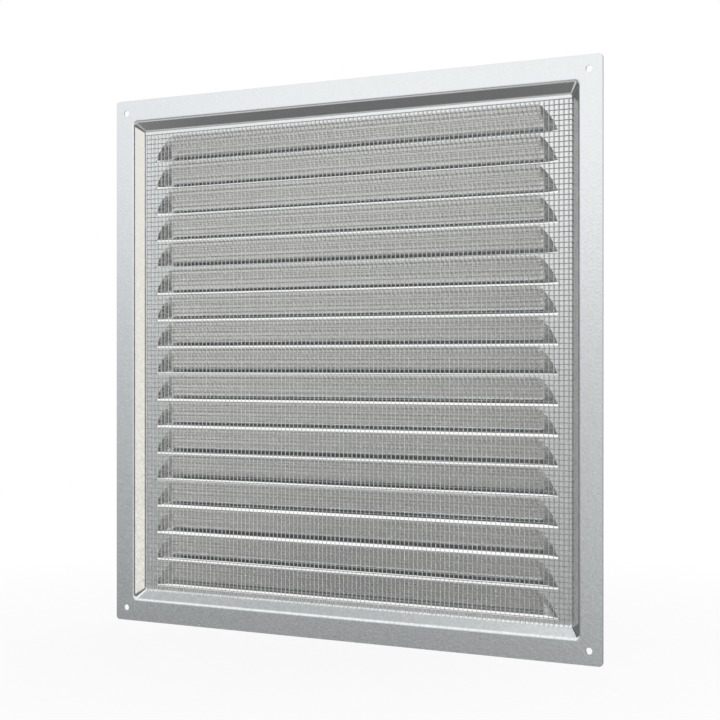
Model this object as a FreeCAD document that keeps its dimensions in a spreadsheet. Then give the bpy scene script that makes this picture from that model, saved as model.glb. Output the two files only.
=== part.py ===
import FreeCAD, Part
import Sketcher
import math
import os

# Ventilation grille: a square galvanised sheet pressed into a shallow pan with rows of louvres,
# and a wire screen lying in the pan behind them. Millimetres.
# The frame's origin is the panel's centre on the wall side of its flange. +Y points away from the
# wall, the way the pan and the louvres are pressed, and +Z is up, so the louvres open downwards.

doc = FreeCAD.newDocument("ventilation_grille")

# Driving dimensions: alias, value, meaning
SIZES = [
    ("panel_size", 400.0, "outer side of the square flange"),
    ("corner_radius", 2.75, "outer corners of the flange"),
    ("sheet_thickness", 1.0, "steel sheet"),
    ("hole_diameter", 4.6, "fixing screw holes"),
    ("hole_inset", 9.6, "hole centre from the flange's outer edges"),
    ("flange_width", 16.4, "flange up to where its face would meet the sloped wall"),
    ("pan_depth", 5.8, "flange face to pan floor, both on the wall side"),
    ("wall_angle", 38.5, "sloped wall against the panel's plane, in degrees"),
    ("bend_radius", 2.5, "inside radius of both bends"),
    ("louvre_pitch", 20.3, "from one row to the next"),
    ("louvre_drop", 0.85, "how far the rows sit below the panel's centre"),
    ("rows_margin", 2.0, "least flat pan floor above the first row and below the last"),
    ("slot_height", 1.5, "open slot under each lip"),
    ("strip_height", 0.8, "flat strip between a slot and the next row's fold"),
    ("hood_throw", 6.8, "how far the lip stands out from the pan floor"),
    ("hood_overlap", 0.5, "how far a hood is drawn past its fold and its lip before trimming"),
    ("hood_margin", 9.0, "a hood's lip end to the start of the pan's lower bend"),
    ("lip_end_width", 14.3, "closed end at the lip, from the footprint to the straight lip"),
    ("fold_end_width", 1.6, "closed end at the fold, from the footprint to the straight fold"),
    ("fold_shortening", 1.0, "how much shorter the straight fold is than the lip, each side"),
    ("end_bulge", 1.8, "how far the footprint's ends bow outwards halfway down"),
    ("crown_share", 0.3, "share of the closed end that rounds over into the roof"),
    ("slot_overrun", 0.1, "how far a slot runs past its hood's footprint, each side"),
    ("wire_diameter", 0.55, "screen wire"),
    ("mesh_pitch", 3.524, "wire to wire, both ways"),
    ("screen_clearance", 0.1, "screen edge to the start of the pan's lower bend"),
    ("screen_top_gap", 1.95, "bare strip of pan floor above the screen"),
]

sheet = doc.addObject("Spreadsheet::Sheet", "Sizes")
for row, (alias, value, meaning) in enumerate(SIZES, start=1):
    sheet.set(f"A{row}", alias)
    sheet.set(f"B{row}", str(value))
    sheet.set(f"C{row}", meaning)
    sheet.setAlias(f"B{row}", alias)
doc.recompute()

# Sizes that follow from the driving dimensions. Each is an expression of the sheet's aliases.
HALF_PANEL = "(Sizes.panel_size / 2)"
HOLE_PLACE = "(Sizes.panel_size / 2 - Sizes.hole_inset)"
OUTSIDE_BEND = "(Sizes.bend_radius + Sizes.sheet_thickness)"
OPENING_HALF = "(Sizes.panel_size / 2 - Sizes.flange_width)"
BEND_START = f"({OPENING_HALF} + {OUTSIDE_BEND} * tan(Sizes.wall_angle / 2))"
FLOOR_HALF = f"({OPENING_HALF} - Sizes.pan_depth / tan(Sizes.wall_angle))"
FLAT_HALF = f"({FLOOR_HALF} - Sizes.bend_radius * tan(Sizes.wall_angle / 2))"
PAN_FRONT = "(Sizes.pan_depth + Sizes.sheet_thickness)"
CLEAR_BEHIND = "(Sizes.pan_depth - Sizes.sheet_thickness)"
HOOD_HEIGHT = "(Sizes.louvre_pitch - Sizes.slot_height - Sizes.strip_height)"
ROWS_ROOM = f"(2 * ({FLAT_HALF} - Sizes.rows_margin - Sizes.louvre_drop))"
ROW_HEIGHT = f"({HOOD_HEIGHT} + Sizes.slot_height)"
ROWS_SPAN = f"(floor(({ROWS_ROOM} - {ROW_HEIGHT}) / Sizes.louvre_pitch) * Sizes.louvre_pitch)"
LOUVRE_COUNT = f"({ROWS_SPAN} / Sizes.louvre_pitch + 1)"
FIRST_FOLD = f"(({ROWS_SPAN} + {ROW_HEIGHT}) / 2 - Sizes.louvre_drop)"
FIRST_LIP = f"({FIRST_FOLD} - {HOOD_HEIGHT})"
LIP_END = f"({FLAT_HALF} - Sizes.hood_margin)"
LIP_HALF = f"({LIP_END} - Sizes.lip_end_width)"
FOLD_HALF = f"({LIP_HALF} - Sizes.fold_shortening)"
FOLD_END = f"({FOLD_HALF} + Sizes.fold_end_width)"
SLOT_HALF = f"({LIP_END} + Sizes.slot_overrun)"
HOOD_SLOPE = f"(Sizes.hood_throw / {HOOD_HEIGHT})"
SCREEN_HALF = f"({FLAT_HALF} - Sizes.screen_clearance)"
SCREEN_TOP = f"({FLAT_HALF} - Sizes.screen_top_gap)"
WIRE_RADIUS = "(Sizes.wire_diameter / 2)"
WIRE_CORNER = "(Sizes.wire_diameter / sqrt(3))"

# Where the level sections of a hood lie, as shares of the way from its fold to its lip
SECTION_SHARES = (0, 0.2, 0.45, 0.7, 1)


def number(expression):
    value = sheet.evalExpression(expression)
    return float(getattr(value, "Value", value))


def vector(place):
    return FreeCAD.Vector(number(place[0]), number(place[1]), 0)


def newBody(label):
    body = doc.addObject("PartDesign::Body", label)
    body.Label = label
    return body


def originPart(body, role):
    return next(item for item in body.Origin.OriginFeatures if item.Role == role)


def newSketch(body, name, role, offset=None):
    """A sketch on one of the body's origin planes, moved along that plane's normal by offset."""
    sketch = body.newObject("Sketcher::SketchObject", name)
    sketch.AttachmentSupport = (originPart(body, role), [""])
    sketch.MapMode = "FlatFace"
    if offset:
        sketch.setExpression("AttachmentOffset.Base.z", offset)
    return sketch


def bind(sketch, constraint, expression):
    index = sketch.addConstraint(constraint)
    sketch.setExpression(f"Constraints[{index}]", expression)


def placePoint(sketch, geometry, point, place):
    """Ties a point of a sketch line, arc or circle to a place, given as two expressions."""
    for kind, expression in zip(("DistanceX", "DistanceY"), place):
        constraint = Sketcher.Constraint(kind, -1, 1, geometry, point, number(expression))
        bind(sketch, constraint, expression)


def addArc(sketch, start, end, level_end):
    """An arc from start to end that runs level at one of them, with its centre above or below."""
    ends = [vector(start), vector(end)]
    level = ends[level_end]
    chord = ends[1 - level_end] - level
    centre = level + FreeCAD.Vector(0, chord.Length**2 / (2 * chord.y), 0)
    angles = [math.atan2(point.y - centre.y, point.x - centre.x) for point in ends]
    spokes = [point - centre for point in ends]
    order = [0, 1] if spokes[0].cross(spokes[1]).z > 0 else [1, 0]
    circle = Part.Circle(centre, FreeCAD.Vector(0, 0, 1), (level - centre).Length)
    curve = Part.ArcOfCircle(circle, angles[order[0]], angles[order[1]])
    arc = sketch.addGeometry(curve, False)
    points = [order.index(0) + 1, order.index(1) + 1]
    sketch.addConstraint(Sketcher.Constraint("Vertical", arc, 3, arc, points[level_end]))
    return arc, points


def addOutline(sketch, places, level_ends=None):
    """
    A closed outline through the places. A side listed in level_ends is an arc that runs level at
    its first end (0) or its last end (1). The other sides are straight.
    """
    level_ends = level_ends or {}
    sides = []
    for i, (start, end) in enumerate(zip(places, places[1:] + places[:1])):
        if i in level_ends:
            geometry, points = addArc(sketch, start, end, level_ends[i])
        else:
            line = Part.LineSegment(vector(start), vector(end))
            geometry, points = sketch.addGeometry(line, False), [1, 2]
        placePoint(sketch, geometry, points[0], start)
        sides.append((geometry, points))
    for (side, points), (following, next_points) in zip(sides, sides[1:] + sides[:1]):
        joint = Sketcher.Constraint("Coincident", side, points[1], following, next_points[0])
        sketch.addConstraint(joint)


def addRectangle(sketch, left, bottom, right, top):
    addOutline(sketch, [(left, bottom), (right, bottom), (right, top), (left, top)])


def addSquare(sketch, half):
    addRectangle(sketch, f"-{half}", f"-{half}", half, half)


def addCircle(sketch, place, diameter):
    circle = Part.Circle(vector(place), FreeCAD.Vector(0, 0, 1), number(diameter) / 2)
    geometry = sketch.addGeometry(circle, False)
    placePoint(sketch, geometry, 3, place)
    bind(sketch, Sketcher.Constraint("Diameter", geometry, number(diameter)), diameter)


def addHexagon(sketch, centre, upright):
    """The six-sided section of a wire. Two of its flats face the panel and the wall."""
    half = f"{WIRE_CORNER} / 2"
    corners = [
        (WIRE_CORNER, "0"), (half, WIRE_RADIUS), (f"-{half}", WIRE_RADIUS),
        (f"-{WIRE_CORNER}", "0"), (f"-{half}", f"-{WIRE_RADIUS}"), (half, f"-{WIRE_RADIUS}"),
    ]
    if not upright:
        corners = [(across, along) for along, across in corners]
    x, y = centre
    addOutline(sketch, [(f"({x} + {right})", f"({y} + {up})") for right, up in corners])


def addPad(body, name, sketch, length, reverse=False):
    pad = body.newObject("PartDesign::Pad", name)
    pad.Profile = sketch
    pad.Reversed = reverse
    pad.setExpression("Length", length)
    return pad


def addPattern(body, name, features, role, reverse, length, count):
    pattern = body.newObject("PartDesign::LinearPattern", name)
    pattern.Originals = features
    pattern.Direction = (originPart(body, role), [""])
    pattern.Reversed = reverse
    pattern.setExpression("Length", length)
    pattern.setExpression("Occurrences", count)
    body.Tip = pattern


def addFlange(body):
    """The flat border, as far in as the pan's upper bend, with its outer corners rounded."""
    sketch = newSketch(body, "flange_outline", "XZ_Plane")
    addSquare(sketch, HALF_PANEL)
    addSquare(sketch, BEND_START)
    flange = addPad(body, "flange", sketch, "Sizes.sheet_thickness", reverse=True)
    doc.recompute()
    hole_place = number(HOLE_PLACE)
    corners = []
    for i, edge in enumerate(flange.Shape.Edges, start=1):
        middle = edge.CenterOfMass
        if min(abs(middle.x), abs(middle.z)) > hole_place:
            corners.append(f"Edge{i}")
    fillet = body.newObject("PartDesign::Fillet", "flange_corners")
    fillet.Base = (flange, corners)
    fillet.setExpression("Radius", "Sizes.corner_radius")


def addPanWall(body):
    """The pan's edge: a bend, a slope and a bend back, swept round the opening and mitred."""
    lean = "Sizes.wall_angle"
    drop = f"(1 - cos({lean}))"
    places = [
        (BEND_START, "0"),
        (f"({BEND_START} - {OUTSIDE_BEND} * sin({lean}))", f"({OUTSIDE_BEND} * {drop})"),
        (
            f"({FLAT_HALF} + Sizes.bend_radius * sin({lean}))",
            f"(Sizes.pan_depth - Sizes.bend_radius * {drop})",
        ),
        (FLAT_HALF, "Sizes.pan_depth"),
        (FLAT_HALF, PAN_FRONT),
        (
            f"({FLAT_HALF} + {OUTSIDE_BEND} * sin({lean}))",
            f"({PAN_FRONT} - {OUTSIDE_BEND} * {drop})",
        ),
        (
            f"({BEND_START} - Sizes.bend_radius * sin({lean}))",
            f"(Sizes.sheet_thickness + Sizes.bend_radius * {drop})",
        ),
        (BEND_START, "Sizes.sheet_thickness"),
    ]
    section = newSketch(body, "pan_wall_section", "XY_Plane")
    addOutline(section, places, {0: 0, 2: 1, 4: 0, 6: 1})
    path = newSketch(body, "pan_wall_path", "XZ_Plane")
    out, back = BEND_START, f"-{BEND_START}"
    addOutline(path, [(out, "0"), (out, out), (back, out), (back, back), (out, back)])
    wall = body.newObject("PartDesign::AdditivePipe", "pan_wall")
    wall.Profile = section
    wall.Spine = (path, [f"Edge{i}" for i in range(1, 6)])
    wall.Transition = "Right corner"


def addPanFloor(body):
    sketch = newSketch(body, "pan_floor_outline", "XZ_Plane", "-Sizes.pan_depth")
    addSquare(sketch, FLAT_HALF)
    addPad(body, "pan_floor", sketch, "Sizes.sheet_thickness", reverse=True)


def addHoodSection(body, name, share, base, surface):
    """
    A level cut through the first hood. share runs from 0 just above the fold to 1 just below the
    lip. The section grows from the sheet face called surface and is closed at base. Each of its
    ends climbs straight from the sheet and rounds over into the roof in a tangent crown.
    """
    drop = f"({share} * ({HOOD_HEIGHT} + 2 * Sizes.hood_overlap) - Sizes.hood_overlap)"
    straight = f"({FOLD_HALF} * (1 - {share}) + {LIP_HALF} * {share})"
    bow = f"(4 * Sizes.end_bulge * {share} * (1 - {share}))"
    reach = f"({FOLD_END} * (1 - {share}) + {LIP_END} * {share} + {bow})"
    foot = f"({surface} - Sizes.hood_overlap * {HOOD_SLOPE})"
    roof = f"({surface} + {drop} * {HOOD_SLOPE})"
    crown = "Sizes.crown_share"
    knee = (
        f"({straight} + {crown} * ({reach} - {straight}))",
        f"({roof} - {crown} / (2 - {crown}) * ({roof} - {foot}))",
    )
    right = [(reach, base), (reach, foot), knee, (straight, roof)]
    left = [(f"-{x}", y) for x, y in reversed(right)]
    sketch = newSketch(body, name, "XY_Plane", f"({FIRST_FOLD} - {drop})")
    addOutline(sketch, right + left, {2: 1, 4: 0} if share else None)
    return sketch


def addHood(body, kind, name, base, surface):
    """The space under one face of the first hood, as a ruled loft through its level sections."""
    sections = [
        addHoodSection(body, f"{name}_section_{i}", share, base, surface)
        for i, share in enumerate(SECTION_SHARES, start=1)
    ]
    hood = body.newObject(kind, name)
    hood.Profile = sections[0]
    hood.Sections = sections[1:]
    hood.Ruled = True
    return hood


def addSlot(body):
    """The open slot under the first lip, cut past both faces so that it trims the lip square."""
    sketch = newSketch(body, "slot_outline", "XZ_Plane", f"-{CLEAR_BEHIND}")
    low = f"({FIRST_LIP} - Sizes.slot_height)"
    addRectangle(sketch, f"-{SLOT_HALF}", low, SLOT_HALF, FIRST_LIP)
    slot = body.newObject("PartDesign::Pocket", "slot")
    slot.Profile = sketch
    slot.setExpression("Length", "Sizes.hood_throw + 3 * Sizes.sheet_thickness")
    return slot


def addHoles(body):
    sketch = newSketch(body, "screw_hole_centres", "XZ_Plane")
    for x in (f"-{HOLE_PLACE}", HOLE_PLACE):
        for z in (f"-{HOLE_PLACE}", HOLE_PLACE):
            addCircle(sketch, (x, z), "Sizes.hole_diameter")
    holes = body.newObject("PartDesign::Pocket", "screw_holes")
    holes.Profile = sketch
    holes.setExpression("Length", "Sizes.sheet_thickness")


def makeLouvrePanel():
    body = newBody("louvre_panel")
    addFlange(body)
    addPanWall(body)
    addPanFloor(body)
    addHoles(body)
    half_sheet = "(Sizes.pan_depth + Sizes.sheet_thickness / 2)"
    outside = addHood(body, "PartDesign::AdditiveLoft", "hood", half_sheet, PAN_FRONT)
    cut = "PartDesign::SubtractiveLoft"
    inside = addHood(body, cut, "hood_inside", CLEAR_BEHIND, "Sizes.pan_depth")
    slot = addSlot(body)
    rows = [outside, inside, slot]
    addPattern(body, "louvre_rows", rows, "Z_Axis", True, ROWS_SPAN, LOUVRE_COUNT)
    return body


def wireCount(span):
    return f"floor(({span} - 2 * {WIRE_CORNER}) / Sizes.mesh_pitch + 1)"


def makeWires(label, role, centre, start, length, pattern_role, backwards, span):
    """Wires side by side: the first is padded along its length and the rest are copies."""
    body = newBody(label)
    body.AllowCompound = True
    sketch = newSketch(body, f"{label}_section", role, start)
    addHexagon(sketch, centre, upright=role == "XY_Plane")
    wire = addPad(body, f"{label}_first", sketch, length)
    count = wireCount(span)
    run = f"(({count} - 1) * Sizes.mesh_pitch)"
    addPattern(body, f"{label}_rows", [wire], pattern_role, backwards, run, count)
    return body


def makeScreen():
    """Upright wires on the wall side, cross wires between them and the pan floor."""
    cross_depth = f"(Sizes.pan_depth - {WIRE_RADIUS})"
    upright_depth = f"(Sizes.pan_depth - 3 * {WIRE_RADIUS})"
    width = f"(2 * {SCREEN_HALF})"
    height = f"({SCREEN_TOP} + {SCREEN_HALF})"
    first_upright = f"(-{SCREEN_HALF} + {WIRE_CORNER})"
    top_wire = f"({SCREEN_TOP} - {WIRE_CORNER})"
    uprights = makeWires(
        "screen_upright_wires", "XY_Plane", (first_upright, upright_depth),
        f"-{SCREEN_HALF}", height, "X_Axis", False, width,
    )
    cross_wires = makeWires(
        "screen_cross_wires", "YZ_Plane", (cross_depth, top_wire),
        f"-{SCREEN_HALF}", width, "Z_Axis", True, height,
    )
    return [uprights, cross_wires]


parts = [makeLouvrePanel()] + makeScreen()
doc.recompute()

for item in doc.Objects:
    if "Invalid" in item.State or "Error" in item.State:
        raise SystemExit(f"{item.Label} did not compute: {item.State}")
for part in parts:
    if part.Shape.isNull() or not part.Shape.isValid():
        raise SystemExit(f"{part.Label} has no valid shape")

os.makedirs("parts", exist_ok=True)
for part in parts:
    part.Shape.exportStep(f"parts/{part.Label}.step")
    box = part.Shape.BoundBox
    print(
        f"{part.Label}: {len(part.Shape.Solids)} solids, {part.Shape.Volume / 1000:.2f} cm3,"
        f" {box.XLength:.1f} x {box.YLength:.1f} x {box.ZLength:.1f} mm"
    )
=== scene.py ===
import math

import bpy
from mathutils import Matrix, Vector


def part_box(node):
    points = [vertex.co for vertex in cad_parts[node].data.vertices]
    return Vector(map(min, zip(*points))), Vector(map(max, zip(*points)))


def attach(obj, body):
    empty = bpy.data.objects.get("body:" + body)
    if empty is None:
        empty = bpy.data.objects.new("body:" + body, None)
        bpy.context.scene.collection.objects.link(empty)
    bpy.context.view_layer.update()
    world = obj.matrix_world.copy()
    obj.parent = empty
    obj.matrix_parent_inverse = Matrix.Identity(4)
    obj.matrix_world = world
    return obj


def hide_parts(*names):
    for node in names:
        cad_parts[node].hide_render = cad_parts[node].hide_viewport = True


# A galvanised ventilation grille, seen from its wall side. The pressed sheet comes from the
# frame, and the wire screen that lies in its pan is made here.
# Metres. +Y points away from the wall and +Z is up.

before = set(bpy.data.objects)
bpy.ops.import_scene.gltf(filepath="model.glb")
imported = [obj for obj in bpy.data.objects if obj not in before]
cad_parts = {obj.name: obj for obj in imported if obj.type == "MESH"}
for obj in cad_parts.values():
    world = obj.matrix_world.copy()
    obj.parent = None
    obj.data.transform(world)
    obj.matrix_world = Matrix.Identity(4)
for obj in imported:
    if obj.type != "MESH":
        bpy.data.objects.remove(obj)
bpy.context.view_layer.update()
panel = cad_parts["louvre_panel"]
uprightLow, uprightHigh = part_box("screen_upright_wires")
crossLow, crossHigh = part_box("screen_cross_wires")
samePlace = 0.0001  # vertices nearer than this to a place are taken to be at it
print("frame loaded:", ", ".join(sorted(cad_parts)))


def deselectAll():
    if bpy.context.mode != "OBJECT":
        bpy.ops.object.mode_set(mode="OBJECT")
    bpy.ops.object.select_all(action="DESELECT")


def takeUp(thing):
    deselectAll()
    thing.select_set(True)
    bpy.context.view_layer.objects.active = thing


def settle(thing, name):
    # Names a new piece and leaves its place in its mesh
    takeUp(thing)
    thing.name = name
    thing.data.name = name
    bpy.ops.object.transform_apply(location=True, rotation=True, scale=True)


# The zinc finish: crystals, a fine speckle and faint rolling streaks

sheetFinish = {
    "tint": (0.95, 0.98, 0.992, 1),
    "darkTint": (0.77, 0.8, 0.812, 1),
    "metallic": 0.95,
    "roughness": 0.15,
    "roughnessSpread": 0.03,
    "crystalSize": 0.003,
    "crystalShare": 0.4,
    "speckleSize": 0.0017,
    "speckleShare": 1.6,
    "streakShare": 0.2,
    "upperShare": 0.2,  # how much of the mottling is left near the top
    "bumpHeight": 0.00005,
}

wireFinish = {
    "tint": (0.8, 0.805, 0.8, 1),
    "darkTint": (0.62, 0.625, 0.62, 1),
    "metallic": 0.9,
    "roughness": 0.3,
    "roughnessSpread": 0.08,
    "crystalSize": 0.0012,
    "crystalShare": 0.2,
    "speckleSize": 0.0004,
    "speckleShare": 0.5,
    "streakShare": 0.0,
    "upperShare": 1,
    "bumpHeight": 0.000003,
}

# The cross wires are the same zinc wire as the uprights, tinted darker: painted shade for
# the contact shadow where they lie against the sheet
shadedCrossWireFinish = dict(
    wireFinish,
    tint=(0.52, 0.525, 0.52, 1),
    darkTint=(0.38, 0.385, 0.38, 1),
)

coatPattern = {
    "speckleDetail": 2,
    "streakDetail": 3,
    "streakStretch": (1200, 400, 8),  # streaks are long upwards and fine across
    "fullBelow": -0.15,  # the height under which the mottling is whole
    "thinAbove": 0.15,  # and over which only the upper share is left
}


def node(tree, kind, x, y, **settings):
    made = tree.nodes.new(kind)
    made.location = (x, y)
    for name, value in settings.items():
        setattr(made, name, value)
    return made


def makeZincGroup():
    # Mixes crystals, speckle and streaks into one mask from 0 to 1
    group = bpy.data.node_groups.new("zincCoat", "ShaderNodeTree")
    for name, kind, direction in (
        ("Crystal Size", "NodeSocketFloat", "INPUT"),
        ("Crystal Share", "NodeSocketFloat", "INPUT"),
        ("Speckle Size", "NodeSocketFloat", "INPUT"),
        ("Speckle Share", "NodeSocketFloat", "INPUT"),
        ("Streak Share", "NodeSocketFloat", "INPUT"),
        ("Upper Share", "NodeSocketFloat", "INPUT"),
        ("Vector", "NodeSocketVector", "INPUT"),
        ("Mask", "NodeSocketFloat", "OUTPUT"),
        ("Grain", "NodeSocketFloat", "OUTPUT"),
    ):
        group.interface.new_socket(name=name, in_out=direction, socket_type=kind)
    given = node(group, "NodeGroupInput", -1100, 0)
    result = node(group, "NodeGroupOutput", 700, 0)
    link = group.links.new

    def perMetre(name, y):
        # Turns a size in metres into a texture's scale
        division = node(group, "ShaderNodeMath", -900, y, operation="DIVIDE")
        division.inputs[0].default_value = 1
        link(given.outputs[name], division.inputs[1])
        return division.outputs[0]

    crystals = node(group, "ShaderNodeTexVoronoi", -650, 250, feature="F1")
    link(given.outputs["Vector"], crystals.inputs["Vector"])
    link(perMetre("Crystal Size", 250), crystals.inputs["Scale"])
    crystalTone = node(group, "ShaderNodeSeparateColor", -450, 250)
    link(crystals.outputs["Color"], crystalTone.inputs[0])

    speckle = node(group, "ShaderNodeTexNoise", -650, 0)
    speckle.inputs["Detail"].default_value = coatPattern["speckleDetail"]
    link(given.outputs["Vector"], speckle.inputs["Vector"])
    link(perMetre("Speckle Size", 0), speckle.inputs["Scale"])

    stretch = node(group, "ShaderNodeMapping", -850, -300)
    stretch.inputs["Scale"].default_value = coatPattern["streakStretch"]
    link(given.outputs["Vector"], stretch.inputs["Vector"])
    streaks = node(group, "ShaderNodeTexNoise", -650, -300)
    streaks.inputs["Scale"].default_value = 1
    streaks.inputs["Detail"].default_value = coatPattern["streakDetail"]
    link(stretch.outputs[0], streaks.inputs["Vector"])

    # Each part is centred on 0 before its share scales it
    total = None
    for source, share, y in (
        (crystalTone.outputs[0], "Crystal Share", 250),
        (speckle.outputs[0], "Speckle Share", 0),
        (streaks.outputs[0], "Streak Share", -300),
    ):
        centred = node(group, "ShaderNodeMath", -200, y, operation="SUBTRACT")
        centred.inputs[1].default_value = 0.5
        link(source, centred.inputs[0])
        scaled = node(group, "ShaderNodeMath", 0, y, operation="MULTIPLY")
        link(centred.outputs[0], scaled.inputs[0])
        link(given.outputs[share], scaled.inputs[1])
        if total is None:
            total = scaled.outputs[0]
            continue
        adding = node(group, "ShaderNodeMath", 200, y, operation="ADD")
        link(scaled.outputs[0], adding.inputs[0])
        link(total, adding.inputs[1])
        total = adding.outputs[0]

    # The mottling shows more towards the bottom
    parts = node(group, "ShaderNodeSeparateXYZ", -850, -550)
    link(given.outputs["Vector"], parts.inputs[0])
    lowness = node(group, "ShaderNodeMapRange", -650, -550)
    lowness.inputs["From Min"].default_value = coatPattern["thinAbove"]
    lowness.inputs["From Max"].default_value = coatPattern["fullBelow"]
    link(parts.outputs["Z"], lowness.inputs["Value"])
    link(given.outputs["Upper Share"], lowness.inputs["To Min"])
    mask = node(group, "ShaderNodeMath", 350, 0, operation="MULTIPLY_ADD", use_clamp=True)
    link(total, mask.inputs[0])
    link(lowness.outputs["Result"], mask.inputs[1])
    mask.inputs[2].default_value = 0.5
    link(mask.outputs[0], result.inputs["Mask"])
    link(speckle.outputs[0], result.inputs["Grain"])
    return group


zincCoat = makeZincGroup()


def zincMaterial(name, finish):
    material = bpy.data.materials.new(name)
    material.use_nodes = True
    tree = material.node_tree
    link = tree.links.new
    shader = tree.nodes["Principled BSDF"]
    shader.inputs["Metallic"].default_value = finish["metallic"]
    place = node(tree, "ShaderNodeTexCoord", -1100, 0)
    coat = node(tree, "ShaderNodeGroup", -850, 0, node_tree=zincCoat)
    for socket, value in (
        ("Crystal Size", finish["crystalSize"]),
        ("Crystal Share", finish["crystalShare"]),
        ("Speckle Size", finish["speckleSize"]),
        ("Speckle Share", finish["speckleShare"]),
        ("Streak Share", finish["streakShare"]),
        ("Upper Share", finish["upperShare"]),
    ):
        coat.inputs[socket].default_value = value
    link(place.outputs["Object"], coat.inputs["Vector"])
    tone = node(tree, "ShaderNodeMix", -500, 200, data_type="RGBA")
    tone.inputs["A"].default_value = finish["darkTint"]
    tone.inputs["B"].default_value = finish["tint"]
    link(coat.outputs["Mask"], tone.inputs["Factor"])
    link(tone.outputs["Result"], shader.inputs["Base Color"])
    dull = node(tree, "ShaderNodeMapRange", -500, 0)
    middle, spread = finish["roughness"], finish["roughnessSpread"]
    dull.inputs["To Min"].default_value = middle + spread
    dull.inputs["To Max"].default_value = middle - spread
    link(coat.outputs["Mask"], dull.inputs["Value"])
    link(dull.outputs["Result"], shader.inputs["Roughness"])
    grain = node(tree, "ShaderNodeBump", -500, -250)
    grain.inputs["Distance"].default_value = finish["bumpHeight"]
    link(coat.outputs["Grain"], grain.inputs["Height"])
    link(grain.outputs["Normal"], shader.inputs["Normal"])
    return material


sheetZinc = zincMaterial("sheetZinc", sheetFinish)
wireZinc = zincMaterial("wireZinc", wireFinish)
# A darker copy of the wire zinc, whose tint paints the cross wires' shade
shadedCrossWireZinc = zincMaterial("shadedCrossWireZinc", shadedCrossWireFinish)

panel.data.materials.clear()
panel.data.materials.append(sheetZinc)
print("louvred sheet finished")


# The pan's pressed corners: wide and round at the flange, tight at the pan's floor

corner = {
    "bendStart": 0.184822,  # where the upper bend leaves the flange
    "bendRadius": 0.0035,
    "lowBendRadius": 0.0025,
    "wallAngle": math.radians(38.5),
    "depth": 0.0058,
    "topRound": 0.0042,
    "lowRound": 0.0016,
    "bendSteps": 6,
    "roundSteps": 20,
    "thickness": 0.0005,
    "mergeDistance": 0.000001,
    "smoothAngle": math.radians(25),
}


def wallProfile():
    # Places down the pan's wall, as distance in from the upper bend and depth
    lean = corner["wallAngle"]
    upper, lower = corner["bendRadius"], corner["lowBendRadius"]
    steps = corner["bendSteps"]
    places = [
        (upper * math.sin(lean * i / steps), upper * (1 - math.cos(lean * i / steps)))
        for i in range(steps + 1)
    ]
    slopeDepth = corner["depth"] - (upper + lower) * (1 - math.cos(lean))
    run = places[-1][0] + slopeDepth / math.tan(lean)
    for i in range(steps + 1):
        turn = lean * (1 - i / steps)
        places.append(
            (
                run + lower * (math.sin(lean) - math.sin(turn)),
                corner["depth"] - lower * (1 - math.cos(turn)),
            )
        )
    return places


def selectWhere(thing, wanted):
    # Selects the vertices that the test picks, and goes into edit mode
    bpy.ops.object.mode_set(mode="EDIT")
    bpy.ops.mesh.select_mode(type="VERT")
    bpy.ops.mesh.select_all(action="DESELECT")
    bpy.ops.object.mode_set(mode="OBJECT")
    for vertex in thing.data.vertices:
        vertex.select = wanted(vertex.co)
    bpy.ops.object.mode_set(mode="EDIT")


def makeCorners():
    deselectAll()
    places = wallProfile()
    total = places[-1][0]
    start = corner["bendStart"]
    rounds = [
        corner["topRound"] + (corner["lowRound"] - corner["topRound"]) * inward / total
        for inward, _ in places
    ]
    centres = [
        Vector((start - inward - size, depth, start - inward - size))
        for (inward, depth), size in zip(places, rounds)
    ]
    tip = Vector((start, 0, start))
    bpy.ops.mesh.primitive_circle_add(
        vertices=corner["roundSteps"] * 4,
        radius=rounds[0],
        location=centres[0],
        rotation=(math.radians(90), 0, 0),
    )
    corners = bpy.context.object
    settle(corners, "panCorners")
    # Only the outer quarter of the circle stays
    middle = centres[0] - Vector((samePlace, 0, samePlace))
    selectWhere(corners, lambda place: place.x < middle.x or place.z < middle.z)
    bpy.ops.mesh.delete(type="VERT")
    # The flat bit of flange between the round and the sharp corner of the solid
    bpy.ops.mesh.select_all(action="SELECT")
    bpy.ops.mesh.extrude_region_move()
    bpy.ops.transform.resize(value=(0, 0, 0), center_override=tip)
    bpy.ops.mesh.merge(type="CENTER")
    # The round itself, drawn in and down along the wall's profile
    selectWhere(corners, lambda place: (place - tip).length > samePlace)
    for i in range(1, len(places)):
        bpy.ops.mesh.extrude_region_move(
            TRANSFORM_OT_translate={"value": centres[i] - centres[i - 1]}
        )
        share = rounds[i] / rounds[i - 1]
        bpy.ops.transform.resize(value=(share, 1, share), center_override=centres[i])
    bpy.ops.mesh.select_all(action="SELECT")
    bpy.ops.mesh.remove_doubles(threshold=corner["mergeDistance"])
    bpy.ops.mesh.normals_make_consistent(inside=False)
    bpy.ops.object.mode_set(mode="OBJECT")
    # An open shell can come out turned round, and its faces should look to the wall side
    if sum(face.normal.y for face in corners.data.polygons) > 0:
        bpy.ops.object.mode_set(mode="EDIT")
        bpy.ops.mesh.flip_normals()
        bpy.ops.object.mode_set(mode="OBJECT")
    sheet = corners.modifiers.new("sheet", "SOLIDIFY")
    sheet.thickness = corner["thickness"]
    sheet.offset = -1
    bpy.ops.object.modifier_apply(modifier="sheet")
    mirror = corners.modifiers.new("fourCorners", "MIRROR")
    mirror.use_axis = (True, False, True)
    mirror.use_mirror_merge = False
    bpy.ops.object.modifier_apply(modifier="fourCorners")
    takeUp(corners)
    bpy.ops.object.shade_smooth_by_angle(angle=corner["smoothAngle"])
    corners.data.materials.append(sheetZinc)
    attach(corners, "root")
    print("pan corners rounded:", len(corners.data.polygons), "faces")


makeCorners()


# The wire screen: straight round wires, the uprights nearer the wall

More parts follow.
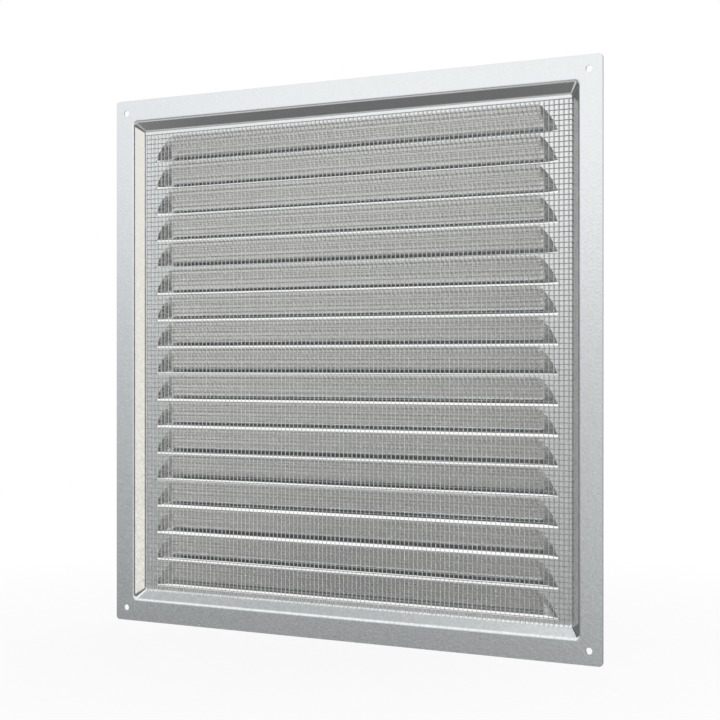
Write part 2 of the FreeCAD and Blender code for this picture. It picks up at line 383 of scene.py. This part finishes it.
screen = {
    "wireRadius": 0.000275,
    "sides": 8,
    "pitch": 0.003524,
    "uprightCount": 100,
    "crossCount": 99,
    "bends": 24,  # stations along each wire
    "wander": 0.00012,  # how far a wire strays sideways
    "wanderGrain": 0.035,
    "endRun": 0.0012,  # how far the cut ends run on past the solids
    "endLift": 0.0003,  # how far the bend lifts them
    "endSpread": 0.0007,  # how unevenly they are cut
    "endGrain": 0.003,
    "smoothAngle": math.radians(50),
}


def wireAlong(name, start, end, sides, radius, stations):
    # A thin rod from start to end, extruded station by station
    run = end - start
    deselectAll()
    bpy.ops.mesh.primitive_circle_add(
        vertices=sides,
        radius=radius,
        fill_type="NGON",
        location=start,
        rotation=run.to_track_quat("Z", "Y").to_euler(),
    )
    wire = bpy.context.object
    settle(wire, name)
    bpy.ops.object.mode_set(mode="EDIT")
    bpy.ops.mesh.select_all(action="SELECT")
    for _ in range(stations):
        bpy.ops.mesh.extrude_region_move(
            TRANSFORM_OT_translate={"value": run / stations}
        )
    bpy.ops.mesh.select_all(action="SELECT")
    bpy.ops.mesh.normals_make_consistent(inside=False)
    bpy.ops.object.mode_set(mode="OBJECT")
    return wire


def strayed(wire, name, grain, direction, strength, group=""):
    # Pushes the wires off their line by a soft noise, or only the vertices of a group
    noise = bpy.data.textures.new(wire.name + name, "CLOUDS")
    noise.noise_scale = grain
    push = wire.modifiers.new(name, "DISPLACE")
    push.texture = noise
    push.texture_coords = "LOCAL"
    push.direction = direction
    push.strength = strength
    push.vertex_group = group
    bpy.ops.object.modifier_apply(modifier=name)


def layWires(name, start, end, step, count, material):
    # One wire copied in a row, with its free ends lifted and cut unevenly
    wire = wireAlong(
        name, start, end, screen["sides"], screen["wireRadius"], screen["bends"]
    )
    row = wire.modifiers.new("row", "ARRAY")
    row.use_relative_offset = False
    row.use_constant_offset = True
    row.constant_offset_displace = step
    row.count = count
    bpy.ops.object.modifier_apply(modifier="row")
    across, along = (0, 2) if step.x else (2, 0)
    last = start[along] if step.x else end[along]
    selectWhere(wire, lambda place: abs(place[along] - last) < samePlace)
    bpy.ops.transform.translate(value=(0, -screen["endLift"], 0))
    bpy.ops.object.mode_set(mode="OBJECT")
    cutEnds = wire.vertex_groups.new(name="cutEnds")
    cutEnds.add([v.index for v in wire.data.vertices if v.select], 1, "REPLACE")
    sideways, lengthways = "XYZ"[across], "XYZ"[along]
    strayed(wire, "sideways", screen["wanderGrain"], sideways, screen["wander"] * 2)
    strayed(
        wire, "uneven", screen["endGrain"], lengthways, screen["endSpread"] * 2, "cutEnds"
    )
    wire.vertex_groups.clear()
    takeUp(wire)
    bpy.ops.object.shade_smooth_by_angle(angle=screen["smoothAngle"])
    wire.data.materials.append(material)
    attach(wire, "root")
    return wire


radius = screen["wireRadius"]
uprightDepth = (uprightLow.y + uprightHigh.y) / 2
crossDepth = (crossLow.y + crossHigh.y) / 2
uprights = layWires(
    "uprightWires",
    Vector((uprightLow.x + radius, uprightDepth, uprightLow.z - screen["endRun"])),
    Vector((uprightLow.x + radius, uprightDepth, uprightHigh.z)),
    Vector((screen["pitch"], 0, 0)),
    screen["uprightCount"],
    wireZinc,
)
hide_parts("screen_upright_wires")
crossWires = layWires(
    "crossWires",
    Vector((crossLow.x, crossDepth, crossHigh.z - radius)),
    Vector((crossHigh.x + screen["endRun"], crossDepth, crossHigh.z - radius)),
    Vector((0, 0, -screen["pitch"])),
    screen["crossCount"],
    shadedCrossWireZinc,
)
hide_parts("screen_cross_wires")
print("wire screen laid:", screen["uprightCount"], "by", screen["crossCount"])


# Plain pale floor, white surroundings and soft lamps

studio = {
    "floorHeight": -0.2,
    "floorSize": 8,
    "floorSides": 96,
    "floorTone": (0.9, 0.9, 0.9, 1),
    "floorRoughness": 0.9,
    "floorNearWhite": 0.86,  # how white the floor is under the grille
    "floorNear": 0.2,  # how far out it starts to whiten
    "floorFar": 0.6,  # and where it is all white
    "keyPower": 9,
    "keySize": 1.2,
    "keyPlace": Vector((0.9, -1.3, 1.5)),
    "fillPower": 5,
    "fillSize": 1.5,
    "fillPlace": Vector((-0.8, 1.6, 1.2)),
    "diffuseLevel": 0.55,
    "roomRadius": 12,
    "roomSegments": 48,
    "roomRings": 24,
    # What the metal mirrors: elevation in degrees, tone, and how warm that tone is
    "roomTones": (
        (-90, 0.17, 1),
        (-56, 0.19, 1),
        (-50, 0.24, 1),
        (-45, 0.37, 1),
        (-42, 0.43, 1),
        (-35, 0.55, 1),
        (-27, 0.76, 1),
        (-22, 0.5, 0.6),
        (-18, 0.2, 0),
        (-14, 0.2, 0),
        (-10, 0.355, 0),
        (-5, 0.5, 0),
        (0, 0.64, 0),
        (5, 0.88, 0),
        (8, 0.99, 0),
        (14, 0.99, 0),
        (20, 1, 0),
    ),
    "roomWarmth": (1.04, 1.0, 0.953),
}

# Soft-edged cards that only the metal mirrors, as angles from the grille in degrees:
# azimuth, elevation, half width, half height, soft edge, tone
reflectedCards = {
    "nearCard": (14, 4, 16, 48, 4, (0.11, 0.11, 0.11)),
    "rightCard": (50, 0, 20, 28, 3, (0.94, 0.885, 0.805)),
    "sideStrip": (86, 0, 13, 26, 4, (4.4, 4.4, 4.4)),
    "edgeStrip": (-12, -4, 6, 24, 3, (1.1, 1.1, 1.1)),
    "leftEdgeCard": (-71, 2, 20, 30, 5, (0.1, 0.1, 0.1)),
    "leftCard": (-104, 2, 21, 36, 4, (0.17, 0.17, 0.17)),
    "leftLowCard": (-64, -52, 20, 12, 3, (0.14, 0.14, 0.14)),
    "leftHighCard": (-62, 50, 21, 20, 9, (0.5, 0.5, 0.5)),
    "leftFloorCard": (-50, -30, 10, 10, 9, (0.72, 0.7, 0.65)),
    "backCard": (158, 0, 18, 24, 3, (0.03, 0.03, 0.03)),
    "frontCard": (-146, -12, 21, 38, 5, (0.04, 0.04, 0.04)),
}
cardDistance = 6

# The same, but these stand a little nearer and only dim or lift what lies behind them
dimmerShare = 0.9  # of the cards' distance
dimmingCards = {
    "leftDimmer": (-45, 0, 13, 22, 9, (0.85, 0.86, 0.87)),
    "rightBladeDimmer": (-19, -36, 12, 14, 9, (0.74, 0.74, 0.74)),
    "rightFlangeLift": (-18, -12, 14, 10, 8, (1.15, 1.15, 1.15)),
    "sideLift": (86, -20, 15, 17, 9, (1.9, 1.9, 1.9)),
    "frontDimmer": (180, 31, 56, 30, 16, (0.6, 0.61, 0.62)),
}


def seenAsWhite(tree):
    # 1 for the rays that see the surroundings as white, 0 for the rest
    link = tree.links.new
    path = node(tree, "ShaderNodeLightPath", -700, 300)
    seen = path.outputs["Is Camera Ray"]
    for name in ("Is Glossy Ray", "Is Transmission Ray"):
        either = node(tree, "ShaderNodeMath", -450, 300, operation="MAXIMUM")
        link(seen, either.inputs[0])
        link(path.outputs[name], either.inputs[1])
        seen = either.outputs[0]
    return seen


def makeWorld():
    world = bpy.data.worlds.new("whiteRoom")
    bpy.context.scene.world = world
    world.use_nodes = True
    tree = world.node_tree
    link = tree.links.new
    plain = tree.nodes["Background"]
    plain.inputs["Strength"].default_value = studio["diffuseLevel"]
    plain.inputs["Color"].default_value = (1, 1, 1, 1)
    white = node(tree, "ShaderNodeBackground", -200, -200)
    white.inputs["Color"].default_value = (1, 1, 1, 1)
    mixed = node(tree, "ShaderNodeMixShader", 200, 0)
    link(seenAsWhite(tree), mixed.inputs[0])
    link(plain.outputs[0], mixed.inputs[1])
    link(white.outputs[0], mixed.inputs[2])
    link(mixed.outputs[0], tree.nodes["World Output"].inputs["Surface"])


def makeFloor():
    deselectAll()
    bpy.ops.mesh.primitive_circle_add(
        vertices=studio["floorSides"],
        radius=studio["floorSize"] / 2,
        fill_type="NGON",
        location=(0, 0, studio["floorHeight"]),
    )
    floor = bpy.context.object
    settle(floor, "paleFloor")
    material = bpy.data.materials.new("paleFloor")
    material.use_nodes = True
    tree = material.node_tree
    link = tree.links.new
    matt = tree.nodes["Principled BSDF"]
    matt.inputs["Base Color"].default_value = studio["floorTone"]
    matt.inputs["Roughness"].default_value = studio["floorRoughness"]
    white = node(tree, "ShaderNodeEmission", -200, -300)
    # Whiter further out, so that the floor meets the background with no line
    place = node(tree, "ShaderNodeTexCoord", -900, -100)
    distance = node(tree, "ShaderNodeVectorMath", -700, -100, operation="LENGTH")
    link(place.outputs["Object"], distance.inputs[0])
    outward = node(tree, "ShaderNodeMapRange", -500, -100)
    outward.inputs["From Min"].default_value = studio["floorNear"]
    outward.inputs["From Max"].default_value = studio["floorFar"]
    outward.inputs["To Min"].default_value = studio["floorNearWhite"]
    outward.inputs["To Max"].default_value = 1
    link(distance.outputs["Value"], outward.inputs["Value"])
    share = node(tree, "ShaderNodeMath", -250, 100, operation="MULTIPLY")
    link(seenAsWhite(tree), share.inputs[0])
    link(outward.outputs["Result"], share.inputs[1])
    mixed = node(tree, "ShaderNodeMixShader", 300, 0)
    link(share.outputs[0], mixed.inputs[0])
    link(matt.outputs[0], mixed.inputs[1])
    link(white.outputs[0], mixed.inputs[2])
    link(mixed.outputs[0], tree.nodes["Material Output"].inputs["Surface"])
    floor.data.materials.append(material)
    floor.visible_glossy = False


def onlyReflected(card):
    card.visible_camera = False
    card.visible_diffuse = False
    card.visible_transmission = False
    card.visible_volume_scatter = False
    card.visible_shadow = False


def glowMaterial(name):
    # An emitting material that isn't sampled as a lamp; returns its tree and its emission
    material = bpy.data.materials.new(name)
    material.use_nodes = True
    material.cycles.emission_sampling = "NONE"
    tree = material.node_tree
    tree.nodes.remove(tree.nodes["Principled BSDF"])
    glow = node(tree, "ShaderNodeEmission", 0, 0)
    return material, tree, glow


def makeMirroredRoom():
    # What the metal mirrors all round: white above, a darker floor below the horizon
    deselectAll()
    bpy.ops.mesh.primitive_uv_sphere_add(
        segments=studio["roomSegments"],
        ring_count=studio["roomRings"],
        radius=studio["roomRadius"],
    )
    room = bpy.context.object
    settle(room, "mirroredRoom")
    bpy.ops.object.shade_smooth()
    material, tree, glow = glowMaterial("mirroredRoom")
    link = tree.links.new
    place = node(tree, "ShaderNodeTexCoord", -1200, 0)
    parts = node(tree, "ShaderNodeSeparateXYZ", -1000, 0)
    link(place.outputs["Object"], parts.inputs[0])
    height = node(tree, "ShaderNodeMath", -800, 0, operation="DIVIDE")
    height.inputs[1].default_value = studio["roomRadius"]
    link(parts.outputs["Z"], height.inputs[0])
    elevation = node(tree, "ShaderNodeMath", -600, 0, operation="ARCSINE")
    link(height.outputs[0], elevation.inputs[0])
    share = node(tree, "ShaderNodeMapRange", -450, 0)
    share.inputs["From Min"].default_value = -math.pi / 2
    share.inputs["From Max"].default_value = math.pi / 2
    link(elevation.outputs[0], share.inputs["Value"])
    ramp = node(tree, "ShaderNodeValToRGB", -300, 0)
    while len(ramp.color_ramp.elements) < len(studio["roomTones"]):
        ramp.color_ramp.elements.new(0.5)
    stops = ramp.color_ramp.elements
    for stop, (angle, tone, warm) in zip(stops, studio["roomTones"]):
        stop.position = (angle + 90) / 180
        tints = (1 - warm + warm * tint for tint in studio["roomWarmth"])
        stop.color = (*(tone * tint for tint in tints), 1)
    link(share.outputs["Result"], ramp.inputs["Fac"])
    link(ramp.outputs["Color"], glow.inputs["Color"])
    link(glow.outputs[0], tree.nodes["Material Output"].inputs["Surface"])
    room.data.materials.append(material)
    onlyReflected(room)


def makeCard(
    name, azimuth, elevation, halfWidth, halfHeight, softEdge, tone, dims=False
):
    # A flat card that faces the grille and fades out towards its edges
    deselectAll()
    turn, lift = math.radians(azimuth), math.radians(elevation)
    outwards = Vector(
        (
            math.sin(turn) * math.cos(lift),
            -math.cos(turn) * math.cos(lift),
            math.sin(lift),
        )
    )
    width, height, edge = (
        2 * cardDistance * math.tan(math.radians(angle))
        for angle in (halfWidth, halfHeight, softEdge)
    )
    bpy.ops.mesh.primitive_plane_add(
        size=1,
        location=outwards * cardDistance,
        rotation=(-outwards).to_track_quat("Z", "Y").to_euler(),
    )
    card = bpy.context.object
    card.name = name
    card.scale = (width, height, 1)
    material, tree, glow = glowMaterial(name)
    link = tree.links.new
    if dims:
        tree.nodes.remove(glow)
        glow = node(tree, "ShaderNodeBsdfTransparent", 0, 0)
        card.location *= dimmerShare
    glow.inputs["Color"].default_value = (*tone, 1)
    place = node(tree, "ShaderNodeTexCoord", -1200, 0)
    parts = node(tree, "ShaderNodeSeparateXYZ", -1000, 0)
    link(place.outputs["Object"], parts.inputs[0])
    fades = []
    for axis, size, y in (("X", width, 150), ("Y", height, -150)):
        away = node(tree, "ShaderNodeMath", -800, y, operation="ABSOLUTE")
        link(parts.outputs[axis], away.inputs[0])
        fade = node(
            tree, "ShaderNodeMapRange", -600, y, interpolation_type="SMOOTHSTEP"
        )
        fade.inputs["From Min"].default_value = 0.5
        fade.inputs["From Max"].default_value = 0.5 - min(0.5, edge / size)
        link(away.outputs[0], fade.inputs["Value"])
        fades.append(fade.outputs["Result"])
    both = node(tree, "ShaderNodeMath", -400, 0, operation="MULTIPLY")
    link(fades[0], both.inputs[0])
    link(fades[1], both.inputs[1])
    clear = node(tree, "ShaderNodeBsdfTransparent", 0, 150)
    mixed = node(tree, "ShaderNodeMixShader", 200, 0)
    link(both.outputs[0], mixed.inputs[0])
    link(clear.outputs[0], mixed.inputs[1])
    link(glow.outputs[0], mixed.inputs[2])
    link(mixed.outputs[0], tree.nodes["Material Output"].inputs["Surface"])
    card.data.materials.append(material)
    onlyReflected(card)


def softLamp(name, place, size, power, mirrored=True):
    # A round lamp aimed at the grille, which the metal mirrors or doesn't
    lamp = bpy.data.lights.new(name, "AREA")
    lamp.shape = "DISK"
    lamp.size = size
    lamp.energy = power
    holder = bpy.data.objects.new(name, lamp)
    bpy.context.scene.collection.objects.link(holder)
    holder.location = place
    holder.rotation_euler = (-place).to_track_quat("-Z", "Y").to_euler()
    holder.visible_camera = False
    holder.visible_glossy = mirrored


makeWorld()
makeFloor()
makeMirroredRoom()
for name, values in reflectedCards.items():
    makeCard(name, *values)
for name, values in dimmingCards.items():
    makeCard(name, *values, dims=True)
softLamp("keyLamp", studio["keyPlace"], studio["keySize"], studio["keyPower"])
softLamp(
    "fillLamp", studio["fillPlace"], studio["fillSize"], studio["fillPower"], mirrored=False
)
print("floor, surroundings and lamps placed")


# The camera looks level at the grille's wall side from 30 degrees to its right

view = {
    "place": (0.5884, -0.9887, -0.00235),
    "turn": 30,
    "lens": 80.73,
    "sensor": 36,
    "shiftUp": 0.00486,
}

cameraData = bpy.data.cameras.new("camera")
cameraData.sensor_width = view["sensor"]
cameraData.lens = view["lens"]
cameraData.shift_y = view["shiftUp"]
camera = bpy.data.objects.new("camera", cameraData)
bpy.context.scene.collection.objects.link(camera)
camera.location = view["place"]
camera.rotation_euler = (math.radians(90), 0, math.radians(view["turn"]))
bpy.context.scene.camera = camera
bpy.context.scene.view_settings.view_transform = "Standard"
print("camera placed")
